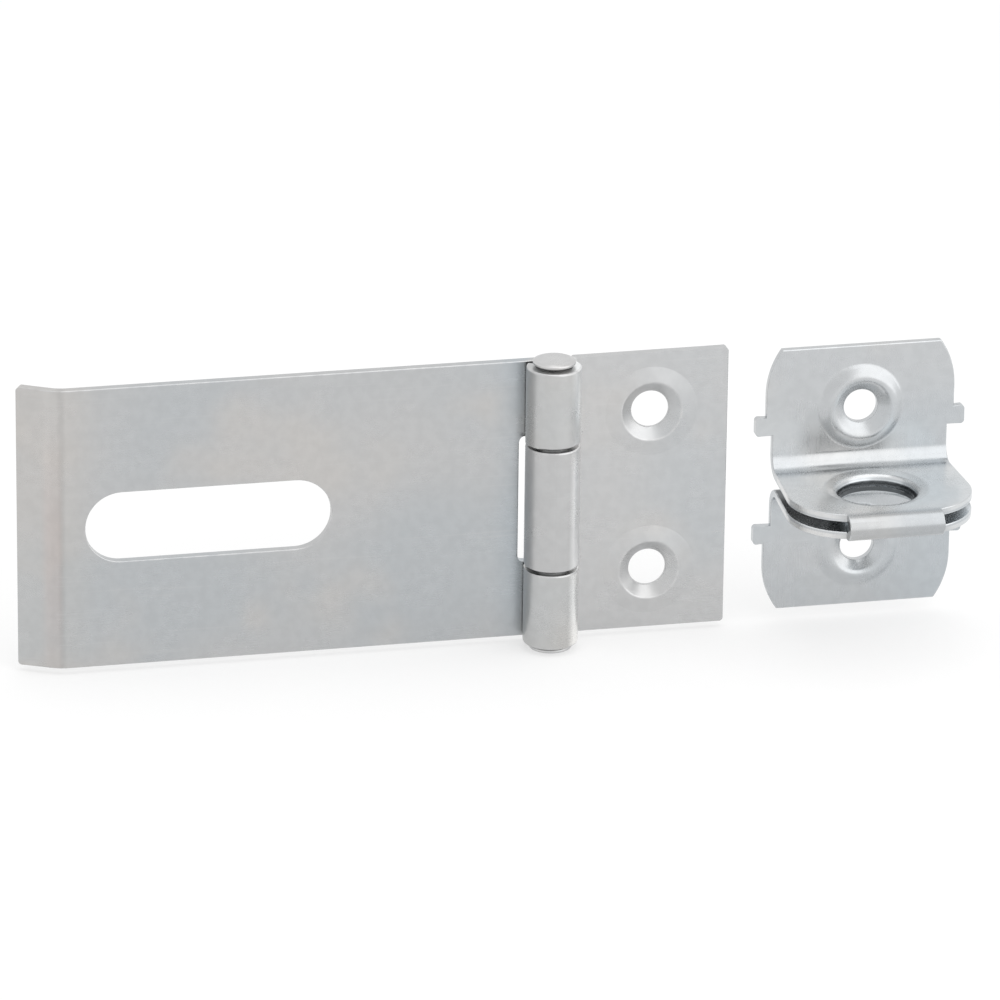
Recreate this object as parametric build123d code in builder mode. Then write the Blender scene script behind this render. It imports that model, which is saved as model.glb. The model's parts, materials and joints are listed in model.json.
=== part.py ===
from build123d import *
import os

# Folding padlock hasp in sheet steel, shown open and flat. X runs along the leaf, Z runs up along the hinge
# pin, and the backs of the leaves and the staple lie on Y = 0 with the front towards -Y. The origin is on
# the back, midway between the fixing leaf's two screw holes. Sizes are in millimetres, angles in degrees.

# Both leaves and their hinge
leaf_sheet = 1.5
leaf_height = 45.0
leaf_corner = 0.6
pin_diameter = 5.4
pin_clearance = 0.05
pin_head_diameter = 6.6
pin_head_flare = 0.5
pin_head_rim = 0.35
pin_head_crown = 0.25
centre_knuckle = 19.6
knuckle_gap = 0.5
knuckle_relief = 0.4
end_clearance = 0.4
gap_relief = 1.0
gap_relief_height = 0.9
seam_angle = 30
notch_corner = 0.9

# Fixing leaf
fixing_reach = 28.0
screw_reach = 16.0
leaf_screw_spacing = 26.0
leaf_screw_hole = 5.8
leaf_countersink = 9.4
leaf_countersink_depth = 1.0
coined_ring = 14.4
coined_rise = 0.35

# Staple, folded from one strip, which stands beside the fixing leaf
staple_gap = 4.6
staple_sheet = 1.2
tongue_gap = 1.6
tongue_reach = 24.5
tongue_width = 29.8
tongue_flare = 1.0
tongue_corner = 9.5
fold_width = 14.9
flange_bend = 2.3
flange_height = 42.6
flange_width = 29.8
shoulder_inset = 2.3
shoulder_height = 7.4
nib_reach = 1.7
nib_height = 3.0
nib_centre = 8.9
nib_corner = 0.6

# Screw bosses, rings pressed forward around the flanges' holes
staple_screw_hole = 5.3
boss_diameter = 14.1
boss_setback = 0.05
boss_peak = 1.5
boss_round = 1.6

# Shackle hole, with the rims of both layers drawn inwards until they nearly meet
shackle_hole = 11.6
dish_setback = 0.4
dish_width = 2.1
dish_lip = 0.7
collar_height = 0.15
collar_gap = 0.1

# Slot that passes over the tongue, and the lip beyond it
slot_near_clearance = 0.6
slot_far_clearance = 7.6
slot_side_clearance = 3.6
slot_end_wall = 2.6
lip_bend = 5.0
lip_angle = 28
lip_length = 5.3

# Sizes that follow from those above
knuckle_bore = pin_diameter / 2 + pin_clearance
barrel_radius = knuckle_bore + leaf_sheet
roll_radius = knuckle_bore + leaf_sheet / 2
pin_x = -screw_reach
pin_y = -barrel_radius
notch_height = centre_knuckle + 2 * knuckle_gap
relief_reach = barrel_radius + knuckle_relief
end_reach = (barrel_radius**2 - (barrel_radius - leaf_sheet) ** 2) ** 0.5 + end_clearance
gap_relief_z = (centre_knuckle + gap_relief_height) / 2
tongue_height = tongue_gap + 2 * staple_sheet
neck_width = tongue_width - 2 * tongue_flare
layer_mid = (tongue_gap + staple_sheet) / 2
fold_radius = tongue_height / 2
fold_start = tongue_reach - fold_radius
bend_end = staple_sheet + flange_bend
flange_top = flange_height / 2
flange_end_width = flange_width - 2 * shoulder_inset
shoulder_bottom = flange_top - shoulder_height
nib_width = flange_width + 2 * nib_reach
nib_top = nib_centre + nib_height / 2
nib_bottom = nib_centre - nib_height / 2
screw_rise = fold_radius + flange_bend + boss_setback + boss_diameter / 2
crest_radius = (boss_diameter + staple_screw_hole) / 4
dish_radius = shackle_hole / 2 + dish_width
dish_depth = tongue_gap / 2 - collar_height - collar_gap / 2
collar_radius = shackle_hole / 2 + staple_sheet
shackle_reach = bend_end + dish_setback + dish_radius
staple_reach = fixing_reach + staple_gap + nib_width / 2
staple_x = pin_x + staple_reach
staple_front = Plane((staple_x, 0, 0), x_dir=(1, 0, 0), z_dir=(0, -1, 0))
staple_top = Plane((staple_x, 0, 0), x_dir=(1, 0, 0), z_dir=(0, 0, 1))
slot_length = tongue_width + slot_near_clearance + slot_far_clearance
slot_height = tongue_height + 2 * slot_side_clearance
slot_near = staple_reach - tongue_width / 2 - slot_near_clearance
slot_x = pin_x - slot_near - slot_length / 2
lip_x = pin_x - slot_near - slot_length - slot_end_wall
mid_sheet = leaf_sheet / 2

os.makedirs("parts", exist_ok=True)

# Swinging leaf: its sheet runs behind the pin and rolls over it into two end knuckles
with BuildPart() as hasp_leaf:
    with BuildSketch(Plane.XY.offset(-leaf_height / 2)):
        with BuildLine() as leaf_path:
            CenterArc((pin_x, pin_y), roll_radius, 90, -270 - seam_angle)
            flat = Line((pin_x, -mid_sheet), (lip_x, -mid_sheet))
            bend = JernArc(flat @ 1, flat % 1, lip_bend, -lip_angle)
            Line(bend @ 1, bend @ 1 + lip_length * (bend % 1))
        trace(leaf_path.line, leaf_sheet)
    extrude(amount=leaf_height)
    # Lip corners
    free_edges = hasp_leaf.edges().filter_by(GeomType.LINE).filter_by(Axis.Z, reverse=True)
    free_edges = free_edges.filter_by(lambda edge: abs(edge.length - leaf_sheet) < 0.01).group_by(Axis.X)[0]
    fillet(free_edges, leaf_corner)
    # Opening for the fixing leaf's knuckle
    with BuildSketch(Plane.XZ) as notch:
        with Locations((pin_x - relief_reach, 0)):
            Rectangle(2 * relief_reach, notch_height, align=(Align.MIN, Align.CENTER))
        fillet(notch.vertices().group_by(Axis.X)[0], notch_corner)
    extrude(amount=2 * barrel_radius, both=True, mode=Mode.SUBTRACT)
    # Slot for the tongue
    with BuildSketch(Plane.XZ):
        with Locations((slot_x, 0)):
            SlotOverall(slot_length, slot_height)
    extrude(amount=leaf_sheet, mode=Mode.SUBTRACT)

hasp_leaf.part.label = "hasp_leaf"
export_step(hasp_leaf.part, "parts/hasp_leaf.step")

# Fixing leaf: its sheet rolls over the pin from the other side, into the centre knuckle
with BuildPart() as fixing_leaf:
    with BuildSketch(Plane.XY.offset(-leaf_height / 2)):
        with BuildLine() as fixing_path:
            Line((pin_x + fixing_reach, -mid_sheet), (pin_x, -mid_sheet))
            CenterArc((pin_x, pin_y), roll_radius, 90, 270 + seam_angle)
        trace(fixing_path.line, leaf_sheet)
    extrude(amount=leaf_height)
    free_corners = fixing_leaf.edges().filter_by(Axis.Y).group_by(Axis.X)[-1]
    fillet(free_corners, leaf_corner)
    # Room for the end knuckles above and below: the sheet's edge stops just behind them
    for room, reach in ((Plane.XZ, end_reach), (Plane.XZ.offset(leaf_sheet), relief_reach)):
        with BuildSketch(room):
            with Locations((pin_x + reach, 0)):
                Rectangle(reach + relief_reach, leaf_height, align=(Align.MAX, Align.CENTER))
            with Locations((pin_x, 0)):
                Rectangle(2 * relief_reach, centre_knuckle, mode=Mode.SUBTRACT)
        extrude(amount=2 * barrel_radius, mode=Mode.SUBTRACT)
    # Round-ended relief in the sheet at each gap between knuckles
    with BuildSketch(Plane.XZ):
        with Locations((pin_x, gap_relief_z), (pin_x, -gap_relief_z)):
            SlotOverall(2 * (barrel_radius + gap_relief), gap_relief_height)
    extrude(amount=leaf_sheet, mode=Mode.SUBTRACT)
    # Coined rings and countersunk screw holes
    with Locations(Plane.XZ.offset(leaf_sheet)):
        with GridLocations(0, leaf_screw_spacing, 1, 2):
            Cone(
                coined_ring / 2,
                leaf_countersink / 2,
                coined_rise,
                align=(Align.CENTER, Align.CENTER, Align.MIN),
            )
            Hole(leaf_screw_hole / 2)
            with Locations((0, 0, coined_rise)):
                Cone(
                    leaf_screw_hole / 2,
                    leaf_countersink / 2,
                    leaf_countersink_depth + coined_rise,
                    align=(Align.CENTER, Align.CENTER, Align.MAX),
                    mode=Mode.SUBTRACT,
                )

fixing_leaf.part.label = "fixing_leaf"
export_step(fixing_leaf.part, "parts/fixing_leaf.step")

# Hinge pin: a plain shank, upset at both ends into low heads that flare out over the knuckles
with BuildPart() as hinge_pin:
    with BuildSketch(Plane.XZ.offset(barrel_radius)):
        with BuildLine():
            shank_end = (pin_x + pin_diameter / 2, leaf_height / 2)
            flare_end = (pin_x + pin_head_diameter / 2, leaf_height / 2 + pin_head_flare)
            rim_end = (flare_end[0], flare_end[1] + pin_head_rim)
            crown_edge = (shank_end[0], rim_end[1] + pin_head_crown)
            Polyline(
                (pin_x, 0),
                (shank_end[0], 0),
                shank_end,
                flare_end,
                rim_end,
                crown_edge,
                (pin_x, crown_edge[1]),
                close=True,
            )
        make_face()
    revolve(axis=Axis((pin_x, pin_y, 0), (0, 0, 1)))
    mirror(about=Plane.XY)

hinge_pin.part.label = "hinge_pin"
export_step(hinge_pin.part, "parts/hinge_pin.step")

# Outline that the staple's strip is trimmed to: the flanges seen from the front, the tongue seen from above
with BuildPart() as staple_outline:
    with BuildSketch(staple_front):
        with BuildLine():
            Polyline(
                (0, 0),
                (neck_width / 2, 0),
                (neck_width / 2, nib_bottom),
                (nib_width / 2, nib_bottom),
                (nib_width / 2, nib_top),
                (flange_width / 2, nib_top),
                (flange_width / 2, shoulder_bottom),
            )
            shoulder_start = (flange_width / 2, shoulder_bottom)
            shoulder_end = (flange_end_width / 2, flange_top)
            TangentArc(shoulder_start, shoulder_end, tangent=(0, 1))
            Polyline(shoulder_end, (0, flange_top), (0, 0))
        quarter = make_face()
        fillet(quarter.vertices().filter_by(lambda v: v.X > nib_width / 2 - 0.01), nib_corner)
        mirror(about=Plane.YZ)
        mirror(about=Plane.XZ)
    extrude(amount=bend_end)
    with BuildSketch(staple_top) as tongue_plan:
        with BuildLine():
            Polyline(
                (0, -bend_end),
                (neck_width / 2, -bend_end),
                (tongue_width / 2, -fold_start),
                (0, -fold_start),
                close=True,
            )
        make_face()
        fillet(tongue_plan.vertices().sort_by(Axis.X)[-1], tongue_corner)
        mirror(about=Plane.YZ)
        with Locations((0, -bend_end)):
            Rectangle(fold_width, tongue_reach - bend_end, align=(Align.CENTER, Align.MAX))
    extrude(amount=tongue_height, both=True)

# Staple: a strip folded into lower flange, doubled tongue and upper flange, and trimmed to its outline
with BuildPart() as staple:
    with BuildSketch(Plane.YZ.offset(staple_x - nib_width / 2)):
        with BuildLine() as strip_path:
            upper_strip = FilletPolyline(
                (-staple_sheet / 2, flange_top),
                (-staple_sheet / 2, layer_mid),
                (-fold_start, layer_mid),
                radius=flange_bend + staple_sheet / 2,
            )
            mirror(upper_strip, about=Plane.XZ)
            CenterArc((-fold_start, 0), layer_mid, 90, 180)
        trace(strip_path.line, staple_sheet)
    extrude(amount=nib_width)
    add(staple_outline.part, mode=Mode.INTERSECT)
    # Screw bosses: rounded in front, grooved behind
    with Locations(staple_front):
        with GridLocations(0, 2 * screw_rise, 1, 2):
            Hole(boss_diameter / 2)
    for hole_z in (screw_rise, -screw_rise):
        with BuildSketch(staple_top.offset(hole_z)):
            with BuildLine():
                foot = (boss_diameter / 2, -staple_sheet)
                peak = (crest_radius, -staple_sheet - boss_peak)
                brink = (staple_screw_hole / 2, -staple_sheet)
                FilletPolyline(foot, peak, brink, radius=boss_round)
                Polyline(brink, (brink[0], 0), (crest_radius, -boss_peak), (foot[0], 0), foot)
            make_face()
        revolve(axis=Axis((staple_x, 0, hole_z), (0, 1, 0)))
    # Shackle hole: both layers dish inwards to a bevelled lip and a short collar
    with Locations((staple_x, -shackle_reach, 0)):
        Cylinder(dish_radius, 2 * tongue_height, mode=Mode.SUBTRACT)
    with BuildSketch(Plane((staple_x, -shackle_reach, 0), x_dir=(1, 0, 0), z_dir=(0, -1, 0))) as rims:
        with BuildLine():
            Polyline(
                (dish_radius, tongue_height / 2),
                (shackle_hole / 2, tongue_height / 2 - dish_depth),
                (shackle_hole / 2, collar_gap / 2),
                (collar_radius, collar_gap / 2),
                (collar_radius, collar_gap / 2 + collar_height),
                (dish_radius, tongue_gap / 2),
                close=True,
            )
        make_face()
        chamfer(rims.vertices().group_by(Axis.X)[0].sort_by(Axis.Y)[-1], dish_lip)
        mirror(about=Plane.XZ)
    revolve(axis=Axis((staple_x, -shackle_reach, 0), (0, 0, 1)))

staple.part.label = "staple"
export_step(staple.part, "parts/staple.step")
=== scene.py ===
"""Folding padlock hasp: rounded zinc-plated sheet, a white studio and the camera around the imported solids."""

import json
import math

import bmesh
import bpy
from mathutils import Matrix, Vector

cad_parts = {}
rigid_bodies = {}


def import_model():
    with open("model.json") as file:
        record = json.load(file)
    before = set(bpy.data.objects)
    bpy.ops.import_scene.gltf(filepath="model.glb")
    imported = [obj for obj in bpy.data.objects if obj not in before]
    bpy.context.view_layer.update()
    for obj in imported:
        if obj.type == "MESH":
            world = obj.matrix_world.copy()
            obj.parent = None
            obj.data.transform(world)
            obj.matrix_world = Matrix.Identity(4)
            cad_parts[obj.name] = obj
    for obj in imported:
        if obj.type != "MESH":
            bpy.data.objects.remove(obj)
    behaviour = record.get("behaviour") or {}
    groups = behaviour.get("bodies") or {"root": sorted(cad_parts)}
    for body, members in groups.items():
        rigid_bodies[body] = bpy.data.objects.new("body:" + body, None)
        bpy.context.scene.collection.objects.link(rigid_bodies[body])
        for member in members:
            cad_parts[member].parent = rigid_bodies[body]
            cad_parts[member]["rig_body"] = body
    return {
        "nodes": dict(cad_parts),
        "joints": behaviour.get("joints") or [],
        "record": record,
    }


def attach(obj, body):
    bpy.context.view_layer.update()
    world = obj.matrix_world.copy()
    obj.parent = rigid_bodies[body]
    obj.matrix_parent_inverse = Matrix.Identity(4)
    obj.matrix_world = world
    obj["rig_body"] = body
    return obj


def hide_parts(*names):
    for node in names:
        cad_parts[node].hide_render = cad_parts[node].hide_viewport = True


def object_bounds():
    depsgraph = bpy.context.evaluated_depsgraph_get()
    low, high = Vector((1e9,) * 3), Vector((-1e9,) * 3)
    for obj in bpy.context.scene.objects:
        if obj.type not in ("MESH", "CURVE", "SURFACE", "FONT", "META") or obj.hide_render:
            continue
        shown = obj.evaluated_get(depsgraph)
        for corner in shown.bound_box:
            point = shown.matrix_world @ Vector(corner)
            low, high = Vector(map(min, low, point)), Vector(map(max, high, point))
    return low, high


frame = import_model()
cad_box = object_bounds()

MM = 0.001

# Camera, fitted to the photograph: a long lens that looks at a point beside the hinge
VIEW_AZIMUTH = math.radians(12.81)
VIEW_ELEVATION = math.radians(21.34)
VIEW_ROLL = math.radians(0.73)
VIEW_POINT = Vector((-22.93, 1.19, -0.96)) * MM
VIEW_DISTANCE = 1224.8 * MM
LENS = 288.0
SENSOR = 36.0

# Studio: the floor's size in metres and its colour, its share of glow, and the strengths of glow and fill
FLOOR_SIZE = 8.0
FLOOR_COLOUR = (0.86, 0.86, 0.86, 1.0)
FLOOR_GLOW = 0.5
GLOW_STRENGTH = 1.12
FILL_STRENGTH = 0.92
WHITE = (1.0, 1.0, 1.0, 1.0)

# Places on the object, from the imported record
MOUNTS = {mount["name"]: mount for mount in frame["record"]["mounts"]}
PIN = Vector(frame["joints"][0]["pos_m"])
SHACKLE = Vector(MOUNTS["shackle_hole"]["pos_m"])
STAPLE_SCREWS = Vector(MOUNTS["staple_screws"]["pos_m"])
SCREW_RISE = MOUNTS["staple_screws"]["dims"]["spacing_y_mm"] / 2
LEAF_SCREW_RISE = MOUNTS["leaf_screws"]["dims"]["spacing_y_mm"] / 2

# Rounding of the edges, in millimetres
SHEET_EDGE = 0.18
RIM_EDGE = 0.32
LIP_EDGE = 0.30
SOFT_EDGE = 0.25
PIN_EDGE = 0.12
SHORTEST = 0.12
WELD = 0.002
EDGE_STEPS = 3

# Shapes that the rounding goes by, in millimetres
BARREL_RADIUS = 4.25
BOSS_RADIUS = 7.05
ON_RADIUS = 0.1
NOTCH_SIDE = -18.8
NOTCH_RISE = 9.9
NOTCH_CORNER = 0.7
LIP_REACH = 7.0
TONGUE_GAP = 1.6
GAP_MARGIN = 0.05

# Angles between faces, from facets of one flat to a sharp edge, and the slope of the coined rings
FLAT = math.radians(0.1)
CREASE = math.radians(12)
SHALLOW = math.radians(25)
SHARP = math.radians(45)
COIN_SLOPE = math.atan(0.14)
RING_MARGIN = math.radians(2)
FRONT = Vector((0.0, -1.0, 0.0))

# Tinted places in millimetres: a pair runs from where a tint begins to where it is full. Many of these tints
# are painted light or shade.
LIP = (-84.0, -91.0)
BEND = ((-94.6, -93.2), (-90.8, -91.8))
BEND_MIDDLE = -6.0
BEND_REACH = (26.0, 3.0)
CREASE_SHADE_LINE = ((-92.1, -91.4), (-90.5, -91.2))
BEND_HIGHLIGHT_LINE = ((-94.2, -93.5), (-92.6, -93.3))
BESIDE_PIN = (PIN.x / MM - 10.0, PIN.x / MM - 4.5)
KNUCKLE = (BARREL_RADIUS + 0.9, BARREL_RADIUS + 0.1)
FLANK_HIGHLIGHT = (PIN.x / MM + 1.7, PIN.x / MM + 3.2)
FOLD_INSIDE = (TONGUE_GAP / 2 + 0.3, TONGUE_GAP / 2)
FOLD_SIDES = (4.0, 8.0)
FOLD_DEEP = ((-1.0, -3.0), (-17.0, -9.0))
FOLD_OPEN = (-13.0, -18.0)
FOLD_END = (-23.1, -22.6)
TONGUE_FACES = (TONGUE_GAP / 2 + 0.3, TONGUE_GAP / 2 + 0.6)
TONGUE_LENGTH = ((-4.0, -6.0), (-22.5, -21.0))
TONGUE_FRONT = (-21.5, -23.0)
BORE = (6.0, 5.85)

# Patterns of the zinc plate: periods in millimetres, stretches along the axes and the noise's range that shows
CLOUD_PERIOD = 30.0
CLOUD_STRETCH = (1.4, 1, 1)
CLOUD_RANGE = (0.38, 0.66)
STAIN_PERIOD = 19.0
STAIN_RANGE = (0.50, 0.74)
MOTTLE_PERIOD = 1.6
SCUFF_PERIOD = 1.1
SCUFF_STRETCH = (16, 1, 0.35)
SCUFF_RANGE = (0.70, 0.82)
SATIN_PERIOD = 6.0
PEEL_PERIOD = 0.9
GRAIN_PERIOD = 0.28
GRAIN_ALONG_LEAF = (30, 1, 1)
GRAIN_ALONG_PIN = (1, 1, 15)
GRAIN_ALONG_STAPLE = (1, 1, 30)
NOISE_RANGE = (0.3, 0.7)
RUB_RANGE = (0.35, 0.65)

# Strengths of those patterns: tones are times the plate's own, shares are how much shows, relief in millimetres
CLOUD_TONE = 0.96
STAIN_TONE = 1.02
MOTTLE_TONES = (0.975, 1.025)
SCUFF_TONE = 1.10
SCUFF_SHARE = 0.2
RUB_TONE = 1.12
RUB_SHARES = (0.1, 0.7)
SATIN_ROUGHNESS = (-0.03, 0.04)
GRAIN_ROUGHNESS = (-0.02, 0.02)
RELIEF_HEIGHT = 0.02

# Casts of a grey, as shares of red, green and blue
COOL = (0.965, 1.0, 1.025)
WARM = (1.025, 1.0, 0.975)
PINK = (1.045, 0.985, 0.97)
NEUTRAL = (0.997, 1.0, 1.002)
BLUISH = (0.975, 1.0, 1.02)

# Colour sockets of Blender's Mix node
MIX_FACTOR, MIX_FIRST, MIX_SECOND, MIX_RESULT = 0, 6, 7, 2

PIECE_NAMES = {
    "hasp_leaf": "hasp_leaf_sheet",
    "fixing_leaf": "fixing_leaf_sheet",
    "hinge_pin": "hinge_pin_steel",
    "staple": "staple_strip",
}


def in_notch_corner(node, place):
    """Whether a place lies in a corner of the leaf's notch, which stays sharp."""
    rise = abs(place.z / MM)
    return node == "hasp_leaf" and place.x / MM < NOTCH_SIDE and abs(rise - NOTCH_RISE) < NOTCH_CORNER


def edge_radius(node, edge, turn):
    """Rounding in millimetres of an outer edge where the surface turns by the given angle."""
    start, end = (vert.co for vert in edge.verts)
    place = (start + end) / 2
    if turn < CREASE or in_notch_corner(node, place):
        return 0.0
    if node == "hinge_pin":
        return PIN_EDGE
    if node == "staple":
        from_shackle = (place - SHACKLE).to_2d().length / MM
        from_boss = math.hypot((place - STAPLE_SCREWS).x / MM, abs(place.z / MM) - SCREW_RISE)
        if abs(from_boss - BOSS_RADIUS) < ON_RADIUS:
            return 0.0
        if abs(place.z / MM) < TONGUE_GAP / 2 - GAP_MARGIN:
            return 0.0
        if from_shackle < LIP_REACH:
            return LIP_EDGE
    if turn < SHALLOW:
        return SOFT_EDGE
    from_pin = (place - PIN).to_2d().length / MM
    level = abs(start.z - end.z) < SHORTEST * MM
    if node != "staple" and level and abs(from_pin - BARREL_RADIUS) < ON_RADIUS:
        return RIM_EDGE
    return SHEET_EDGE


def turn_at(edge, normals):
    """Angle between the two faces' own normals along an edge: none where the surface runs on smoothly."""
    one, other = edge.link_loops
    turns = []
    for vert in edge.verts:
        here = one if one.vert == vert else one.link_loop_next
        there = other if other.vert == vert else other.link_loop_next
        turns.append(here[normals].angle(there[normals], 0.0))
    return max(turns)


def welded_mesh(node):
    """The solid's mesh in one skin with its flat facets joined, each edge weighted by its rounding."""
    source = frame["nodes"][node].data
    skin = bmesh.new()
    skin.from_mesh(source)
    normals = skin.loops.layers.float_vector.new("own_normal")
    corners = iter(source.corner_normals)
    for face in skin.faces:
        face.smooth = True
        for loop in face.loops:
            loop[normals] = next(corners).vector
    bmesh.ops.remove_doubles(skin, verts=skin.verts, dist=WELD * MM)
    bmesh.ops.dissolve_limit(skin, angle_limit=FLAT, verts=skin.verts, edges=skin.edges)
    weights = skin.edges.layers.float.new("bevel_weight_edge")
    for edge in skin.edges:
        if edge.is_convex and edge.calc_length() > SHORTEST * MM:
            edge[weights] = edge_radius(node, edge, turn_at(edge, normals)) / RIM_EDGE
    skin.loops.layers.float_vector.remove(normals)
    mesh = bpy.data.meshes.new(PIECE_NAMES[node])
    skin.to_mesh(mesh)
    skin.free()
    return mesh


def ring_normal(place):
    """Normal of the coined ring's cone at a place on it."""
    out = Vector((place.x, abs(place.z) - LEAF_SCREW_RISE * MM)).normalized() * math.sin(COIN_SLOPE)
    return Vector((out.x, -math.cos(COIN_SLOPE), math.copysign(1, place.z) * out.y))


def shade_smooth(mesh, has_rings):
    """Normals weighted by face area, so that flats stay flat up to their rounding, and split at sharp edges.

    The coined rings keep their cone's own normals."""
    around = [[] for _ in mesh.vertices]
    for face in mesh.polygons:
        for index in face.vertices:
            around[index].append((face.normal.copy(), face.area))
    normals = []
    for face in mesh.polygons:
        on_ring = has_rings and abs(face.normal.angle(FRONT) - COIN_SLOPE) < RING_MARGIN
        for index in face.vertices:
            if on_ring:
                normals.append(ring_normal(mesh.vertices[index].co))
                continue
            shared = Vector()
            for normal, area in around[index]:
                if normal.dot(face.normal) > math.cos(SHARP):
                    shared += area * normal
            normals.append(shared.normalized())
    mesh.normals_split_custom_set(normals)


def rounded_mesh(piece):
    """The piece's mesh after its weighted edges are rounded: material 1 marks the new faces."""
    rounding = piece.modifiers.new("rounding", "BEVEL")
    rounding.limit_method = "WEIGHT"
    rounding.width = RIM_EDGE * MM
    rounding.segments = EDGE_STEPS
    rounding.use_clamp_overlap = False
    rounding.material = 1
    piece.modifiers.new("weld", "WELD").merge_threshold = WELD * MM
    rounded = bpy.data.meshes.new_from_object(piece.evaluated_get(bpy.context.evaluated_depsgraph_get()))
    piece.modifiers.clear()
    return rounded


def rounded_piece(node, finish):
    """The solid with rounded edges, which stands for it: the new edge faces are marked as rubbed."""
    mesh = welded_mesh(node)
    piece = bpy.data.objects.new(PIECE_NAMES[node], mesh)
    bpy.context.collection.objects.link(piece)
    for _ in range(2):
        mesh.materials.append(finish)
    rounded = rounded_mesh(piece)
    piece.data = rounded
    rubbed = rounded.attributes.new("rubbed", "FLOAT", "FACE")
    rubbed.data.foreach_set("value", [float(face.material_index) for face in rounded.polygons])
    rounded.polygons.foreach_set("material_index", [0] * len(rounded.polygons))
    rounded.materials.clear()
    rounded.materials.append(finish)
    bpy.data.meshes.remove(mesh)
    shade_smooth(rounded, node == "fixing_leaf")
    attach(piece, frame["nodes"][node]["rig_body"])
    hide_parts(node)


class Finish:
    """A node material in millimetres, built up node by node on one Principled shader."""

    def __init__(self, name):
        self.material = bpy.data.materials.new(name)
        self.material.use_nodes = True
        self.tree = self.material.node_tree
        self.shader = self.tree.nodes["Principled BSDF"]
        scale = self.node("ShaderNodeVectorMath", operation="SCALE")
        scale.inputs["Scale"].default_value = 1 / MM
        self.join(self.node("ShaderNodeTexCoord").outputs["Object"], scale.inputs[0])
        self.place = scale.outputs["Vector"]
        apart = self.node("ShaderNodeSeparateXYZ")
        self.join(self.place, apart.inputs["Vector"])
        self.x, self.y, self.z = apart.outputs

    def node(self, kind, **settings):
        made = self.tree.nodes.new(kind)
        for name, value in settings.items():
            setattr(made, name, value)
        return made

    def join(self, source, socket):
        """Links a socket to another, or sets it to a fixed value."""
        if isinstance(source, bpy.types.NodeSocket):
            self.tree.links.new(source, socket)
        else:
            socket.default_value = source

    def noise(self, period, stretch=(1, 1, 1), detail=2.0, offset=(0, 0, 0)):
        """Noise of the given period, drawn out along the axes by stretch."""
        mapping = self.node("ShaderNodeMapping")
        self.join(self.place, mapping.inputs["Vector"])
        self.join(offset, mapping.inputs["Location"])
        self.join([1 / (period * s) for s in stretch], mapping.inputs["Scale"])
        texture = self.node("ShaderNodeTexNoise")
        self.join(mapping.outputs["Vector"], texture.inputs["Vector"])
        self.join(1.0, texture.inputs["Scale"])
        self.join(detail, texture.inputs["Detail"])
        return texture.outputs["Fac"]

    def span(self, value, low, high, to_low=0.0, to_high=1.0):
        """Eases from to_low to to_high while value goes from low to high, and holds beyond."""
        ramp = self.node("ShaderNodeMapRange", interpolation_type="SMOOTHSTEP")
        for name, source in (("Value", value), ("From Min", low), ("From Max", high), ("To Min", to_low),
                             ("To Max", to_high)):
            self.join(source, ramp.inputs[name])
        return ramp.outputs["Result"]

    def band(self, value, first_side, second_side):
        """One between two sides, each eased."""
        return self.both(self.span(value, *first_side), self.span(value, *second_side))

    def maths(self, operation, *values):
        made = self.node("ShaderNodeMath", operation=operation)
        for socket, value in zip(made.inputs, values):
            self.join(value, socket)
        return made.outputs["Value"]

    def both(self, first, second):
        return self.maths("MULTIPLY", first, second)

    def other_than(self, mask):
        return self.maths("SUBTRACT", 1.0, mask)

    def size(self, value):
        return self.maths("ABSOLUTE", value)

    def from_axis(self, axis):
        """Distance from the upright axis through a place."""
        across = self.maths("SUBTRACT", self.x, axis.x / MM)
        deep = self.maths("SUBTRACT", self.y, axis.y / MM)
        return self.maths("SQRT", self.maths("ADD", self.both(across, across), self.both(deep, deep)))

    def mix(self, factor, first, second, blend="MIX"):
        made = self.node("ShaderNodeMix", data_type="RGBA", blend_type=blend)
        self.join(factor, made.inputs[MIX_FACTOR])
        self.join(first, made.inputs[MIX_FIRST])
        self.join(second, made.inputs[MIX_SECOND])
        return made.outputs[MIX_RESULT]


def lip_mask(finish):
    """The lip beyond the swinging leaf's bend."""
    return finish.span(finish.x, *LIP)


def bend_tint_and_shade_mask(finish):
    """A band of pink tint along the lip's bend, strongest below the middle. Its darkening is painted shade of
    the bend.
    """
    along = finish.span(finish.size(finish.maths("SUBTRACT", finish.z, BEND_MIDDLE)), *BEND_REACH)
    return finish.both(finish.band(finish.x, *BEND), along)


def crease_shade_mask(finish):
    """Painted shade: the bend's dark inner line."""
    return finish.band(finish.x, *CREASE_SHADE_LINE)


def bend_highlight_mask(finish):
    """Painted highlight: the bend's light outer line."""
    return finish.band(finish.x, *BEND_HIGHLIGHT_LINE)


def shade_mask(finish):
    """Painted shade on the sheet beside the knuckles, cool and darker."""
    return finish.span(finish.x, *BESIDE_PIN)


def knuckle_mask(finish):
    """The rolled knuckles, apart from the flat sheet."""
    return finish.span(finish.from_axis(PIN), *KNUCKLE)


def flank_highlight_mask(finish):
    """Painted highlight on the knuckles' side towards the fixing leaf."""
    return finish.both(knuckle_mask(finish), finish.span(finish.x, *FLANK_HIGHLIGHT))


def inside_mask(finish):
    """The inside of the doubled tongue, apart from its outer faces."""
    return finish.span(finish.size(finish.z), *FOLD_INSIDE)


def side_mask(finish):
    """Both sides of the tongue, apart from its middle."""
    return finish.span(finish.size(finish.maths("SUBTRACT", finish.x, SHACKLE.x / MM)), *FOLD_SIDES)


def fold_shade_mask(finish):
    """Painted shade in the sides of the fold by the flanges, deep inside the doubled tongue."""
    deep = finish.band(finish.y, *FOLD_DEEP)
    return finish.both(inside_mask(finish), finish.both(deep, side_mask(finish)))


def fold_light_mask(finish):
    """Painted light in the middle and the front of the fold, which makes the inside lighter there."""
    middle = finish.other_than(side_mask(finish))
    open_part = finish.maths("MAXIMUM", middle, finish.span(finish.y, *FOLD_OPEN))
    return finish.both(inside_mask(finish), finish.both(open_part, finish.span(finish.y, *FOLD_END)))


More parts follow.
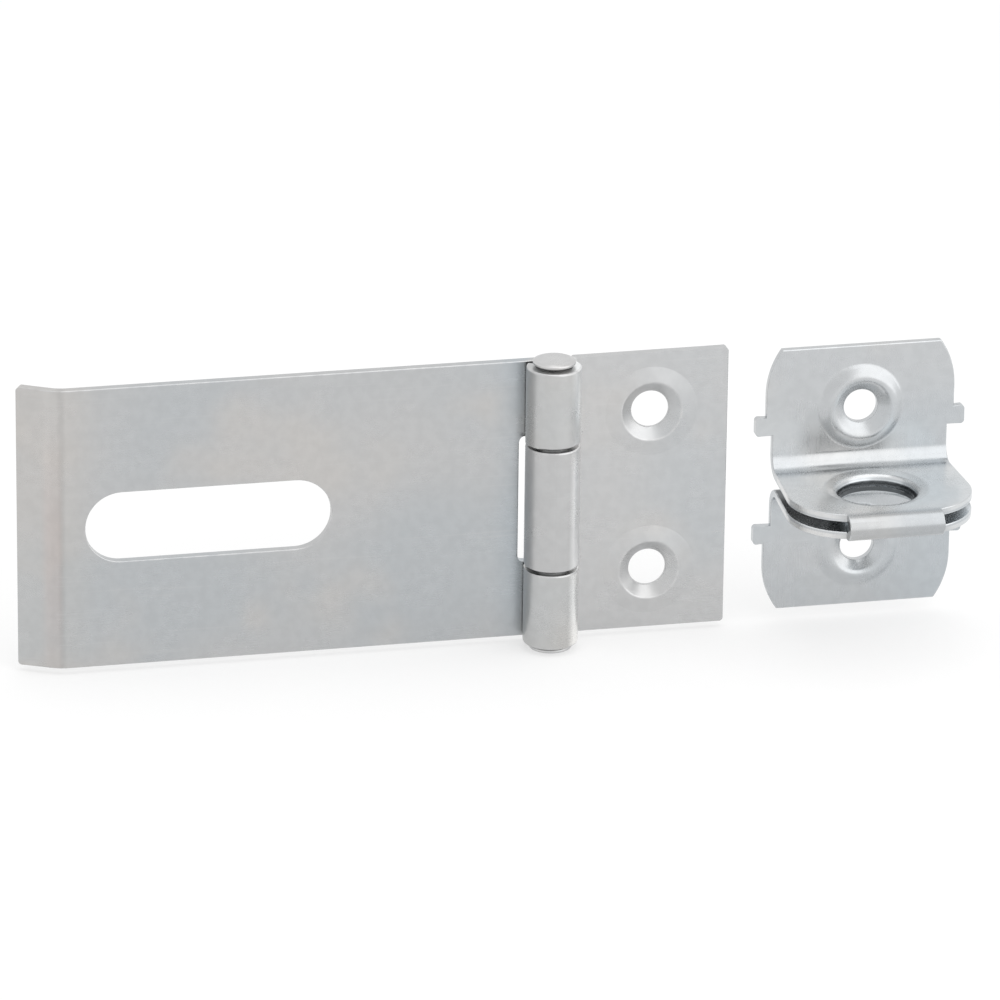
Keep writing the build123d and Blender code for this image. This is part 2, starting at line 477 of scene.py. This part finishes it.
def tongue_light_mask(finish):
    """Painted light on the outer faces of the tongue, slightly warm."""
    faces = finish.span(finish.size(finish.z), *TONGUE_FACES)
    return finish.both(faces, finish.band(finish.y, *TONGUE_LENGTH))


def front_shade_mask(finish):
    """Painted shade on the turned-over front of the tongue, which tones down its highlight."""
    return finish.span(finish.y, *TONGUE_FRONT)


def bore_shade_mask(finish):
    """Painted shade on the wall of the shackle hole."""
    return finish.span(finish.from_axis(SHACKLE), *BORE)


def grey(value, *casts):
    """A grey of the given value, tinted by each cast in turn."""
    return tuple(value * math.prod(parts) for parts in zip((1.0, 1.0, 1.0), *casts)) + (1.0,)


def zinc(name, tone, cast, rough, relief_depth, grain_stretch, seed, tints=()):
    """Zinc plate on pressed steel: cloudy passivation, mottle, scuffs, rolling grain and rubbed edges.

    Each tint is a function that gives a mask, with the colour that the plate is multiplied by there. Several
    tints paint light or shade."""
    finish = Finish(name)
    shader = finish.shader
    shader.inputs["Metallic"].default_value = 1.0

    # Colour: wide cool clouds off the knuckles, warm stains, the piece's tints (many of them painted light and
    # shade), then fine mottle and scuffs
    clouds = finish.span(finish.noise(CLOUD_PERIOD, CLOUD_STRETCH, 1.0, (seed, 0, seed)), *CLOUD_RANGE)
    clouds = finish.both(clouds, finish.other_than(knuckle_mask(finish)))
    stains = finish.span(finish.noise(STAIN_PERIOD, offset=(0, seed, 4 * seed)), *STAIN_RANGE)
    colour = finish.mix(clouds, grey(tone, cast), grey(CLOUD_TONE * tone, cast, COOL))
    colour = finish.mix(stains, colour, grey(STAIN_TONE * tone, cast, WARM))
    for mask, tint in tints:
        colour = finish.mix(mask(finish), colour, tint, "MULTIPLY")
    mottle = finish.noise(MOTTLE_PERIOD)
    colour = finish.mix(1.0, colour, finish.span(mottle, *NOISE_RANGE, *MOTTLE_TONES), "MULTIPLY")
    scuffs = finish.span(finish.noise(SCUFF_PERIOD, SCUFF_STRETCH, 0.0, (0, 0, seed)), *SCUFF_RANGE)
    colour = finish.mix(finish.both(scuffs, SCUFF_SHARE), colour, grey(SCUFF_TONE * tone, cast))
    rubbed = finish.node("ShaderNodeAttribute", attribute_name="rubbed").outputs["Fac"]
    patchy = finish.span(mottle, *RUB_RANGE, *RUB_SHARES)
    colour = finish.mix(finish.both(rubbed, patchy), colour, grey(RUB_TONE * tone, cast))
    finish.join(colour, shader.inputs["Base Color"])

    # Gloss and relief: satin patches and fine rolling grain over a slight orange peel
    grain = finish.noise(GRAIN_PERIOD, grain_stretch, 1.0)
    satin = finish.span(finish.noise(SATIN_PERIOD, detail=1.0, offset=(2 * seed, 0, 0)), *NOISE_RANGE,
                        *(rough + change for change in SATIN_ROUGHNESS))
    fine = finish.span(grain, *NOISE_RANGE, *GRAIN_ROUGHNESS)
    finish.join(finish.maths("ADD", satin, fine), shader.inputs["Roughness"])
    relief = finish.node("ShaderNodeBump")
    finish.join(relief_depth, relief.inputs["Strength"])
    finish.join(RELIEF_HEIGHT * MM, relief.inputs["Distance"])
    finish.join(finish.maths("ADD", finish.noise(PEEL_PERIOD, detail=0.0), grain), relief.inputs["Height"])
    finish.join(relief.outputs["Normal"], shader.inputs["Normal"])
    return finish.material


def background(tree, seen, unseen):
    """Mixes two shaders: seen by camera, glossy and transmission rays, unseen by all others."""
    path = tree.nodes.new("ShaderNodeLightPath")
    either = path.outputs["Is Camera Ray"]
    for ray in ("Is Glossy Ray", "Is Transmission Ray"):
        more = tree.nodes.new("ShaderNodeMath")
        more.operation = "MAXIMUM"
        tree.links.new(either, more.inputs[0])
        tree.links.new(path.outputs[ray], more.inputs[1])
        either = more.outputs["Value"]
    mixed = tree.nodes.new("ShaderNodeMixShader")
    tree.links.new(either, mixed.inputs["Fac"])
    tree.links.new(unseen, mixed.inputs[1])
    tree.links.new(seen, mixed.inputs[2])
    return mixed.outputs["Shader"]


def add_world():
    """White behind everything, with a plain even fill for the light itself."""
    world = bpy.data.worlds.new("studio")
    bpy.context.scene.world = world
    world.use_nodes = True
    tree = world.node_tree
    fill = tree.nodes["Background"]
    fill.inputs["Color"].default_value = WHITE
    fill.inputs["Strength"].default_value = FILL_STRENGTH
    white = tree.nodes.new("ShaderNodeBackground")
    white.inputs["Color"].default_value = WHITE
    mixed = background(tree, white.outputs["Background"], fill.outputs["Background"])
    tree.links.new(mixed, tree.nodes["World Output"].inputs["Surface"])


def add_floor():
    """White floor right under the object. Its glow, for the rays that see it alone, softens the shadow."""
    half = FLOOR_SIZE / 2
    level = cad_box[0][2]
    corners = [(-half, -half, level), (half, -half, level), (half, half, level), (-half, half, level)]
    mesh = bpy.data.meshes.new("floor")
    mesh.from_pydata(corners, [], [(0, 1, 2, 3)])
    floor = bpy.data.objects.new("floor", mesh)
    bpy.context.collection.objects.link(floor)
    material = bpy.data.materials.new("floor_white")
    material.use_nodes = True
    tree = material.node_tree
    tree.nodes.remove(tree.nodes["Principled BSDF"])
    matt = tree.nodes.new("ShaderNodeBsdfDiffuse")
    matt.inputs["Color"].default_value = FLOOR_COLOUR
    glow = tree.nodes.new("ShaderNodeEmission")
    glow.inputs["Strength"].default_value = GLOW_STRENGTH
    lit = tree.nodes.new("ShaderNodeMixShader")
    lit.inputs["Fac"].default_value = FLOOR_GLOW
    tree.links.new(matt.outputs["BSDF"], lit.inputs[1])
    tree.links.new(glow.outputs["Emission"], lit.inputs[2])
    mixed = background(tree, lit.outputs["Shader"], matt.outputs["BSDF"])
    tree.links.new(mixed, tree.nodes["Material Output"].inputs["Surface"])
    mesh.materials.append(material)


def add_lamp(name, place, size, watts):
    """Square soft box that faces the object's middle."""
    light = bpy.data.lights.new(name, "AREA")
    light.size = size
    light.energy = watts
    lamp = bpy.data.objects.new(name, light)
    lamp.location = place
    middle = (Vector(cad_box[0]) + Vector(cad_box[1])) / 2
    lamp.rotation_euler = (middle - Vector(place)).to_track_quat("-Z", "Y").to_euler()
    lamp.visible_camera = False
    bpy.context.collection.objects.link(lamp)


def add_camera():
    """Long lens at the photograph's angle, turned slightly about its own axis."""
    back = Vector((-math.sin(VIEW_AZIMUTH) * math.cos(VIEW_ELEVATION),
                   -math.cos(VIEW_AZIMUTH) * math.cos(VIEW_ELEVATION),
                   math.sin(VIEW_ELEVATION)))
    right = Vector((math.cos(VIEW_AZIMUTH), -math.sin(VIEW_AZIMUTH), 0.0))
    up = back.cross(right)
    level = Matrix((right, up, back)).transposed()
    turned = level @ Matrix.Rotation(VIEW_ROLL, 3, "Z")
    data = bpy.data.cameras.new("camera")
    data.lens = LENS
    data.sensor_width = SENSOR
    camera = bpy.data.objects.new("camera", data)
    camera.matrix_world = Matrix.Translation(VIEW_POINT + VIEW_DISTANCE * back) @ turned.to_4x4()
    bpy.context.collection.objects.link(camera)
    bpy.context.scene.camera = camera


leaf_zinc = zinc("leaf_zinc_plate", tone=0.515, cast=NEUTRAL, rough=0.30, relief_depth=0.02,
                 grain_stretch=GRAIN_ALONG_LEAF, seed=3.0, tints=(
                     # Painted shade and highlight along the lip's bend, painted shade beside the knuckles, a
                     # painted highlight on their flank
                     (lip_mask, grey(1.02, WARM)),
                     (bend_tint_and_shade_mask, grey(0.95, PINK)),
                     (crease_shade_mask, grey(0.92)),
                     (bend_highlight_mask, grey(1.03)),
                     (shade_mask, grey(0.96, COOL)),
                     (knuckle_mask, grey(1.06, WARM)),
                     (flank_highlight_mask, grey(1.7)),
                 ))
fixing_zinc = zinc("fixing_zinc_plate", tone=0.545, cast=NEUTRAL, rough=0.30, relief_depth=0.02,
                   grain_stretch=GRAIN_ALONG_LEAF, seed=11.0, tints=(
                       # A painted highlight on the knuckles' flank
                       (knuckle_mask, grey(0.95)),
                       (flank_highlight_mask, grey(1.7)),
                   ))
pin_zinc = zinc("pin_zinc_plate", tone=0.58, cast=NEUTRAL, rough=0.32, relief_depth=0.06,
                grain_stretch=GRAIN_ALONG_PIN, seed=19.0)
staple_zinc = zinc("staple_zinc_plate", tone=0.545, cast=BLUISH, rough=0.25, relief_depth=0.008,
                   grain_stretch=GRAIN_ALONG_STAPLE, seed=27.0, tints=(
                       # Painted shade in the fold, in the shackle hole and on the tongue's front; painted light
                       # in the fold and on the tongue's faces
                       (fold_shade_mask, grey(0.18, COOL)),
                       (fold_light_mask, grey(1.55)),
                       (tongue_light_mask, grey(1.27, WARM)),
                       (front_shade_mask, grey(0.84)),
                       (bore_shade_mask, grey(0.13, COOL)),
                   ))
rounded_piece("hasp_leaf", leaf_zinc)
rounded_piece("fixing_leaf", fixing_zinc)
rounded_piece("hinge_pin", pin_zinc)
rounded_piece("staple", staple_zinc)
add_world()
add_floor()
add_lamp("key", place=(0.30, -0.34, 0.16), size=0.6, watts=0.8)
add_lamp("top", place=(0.10, -0.10, 0.75), size=0.7, watts=1.1)
add_camera()

bpy.context.scene.view_settings.view_transform = "Standard"
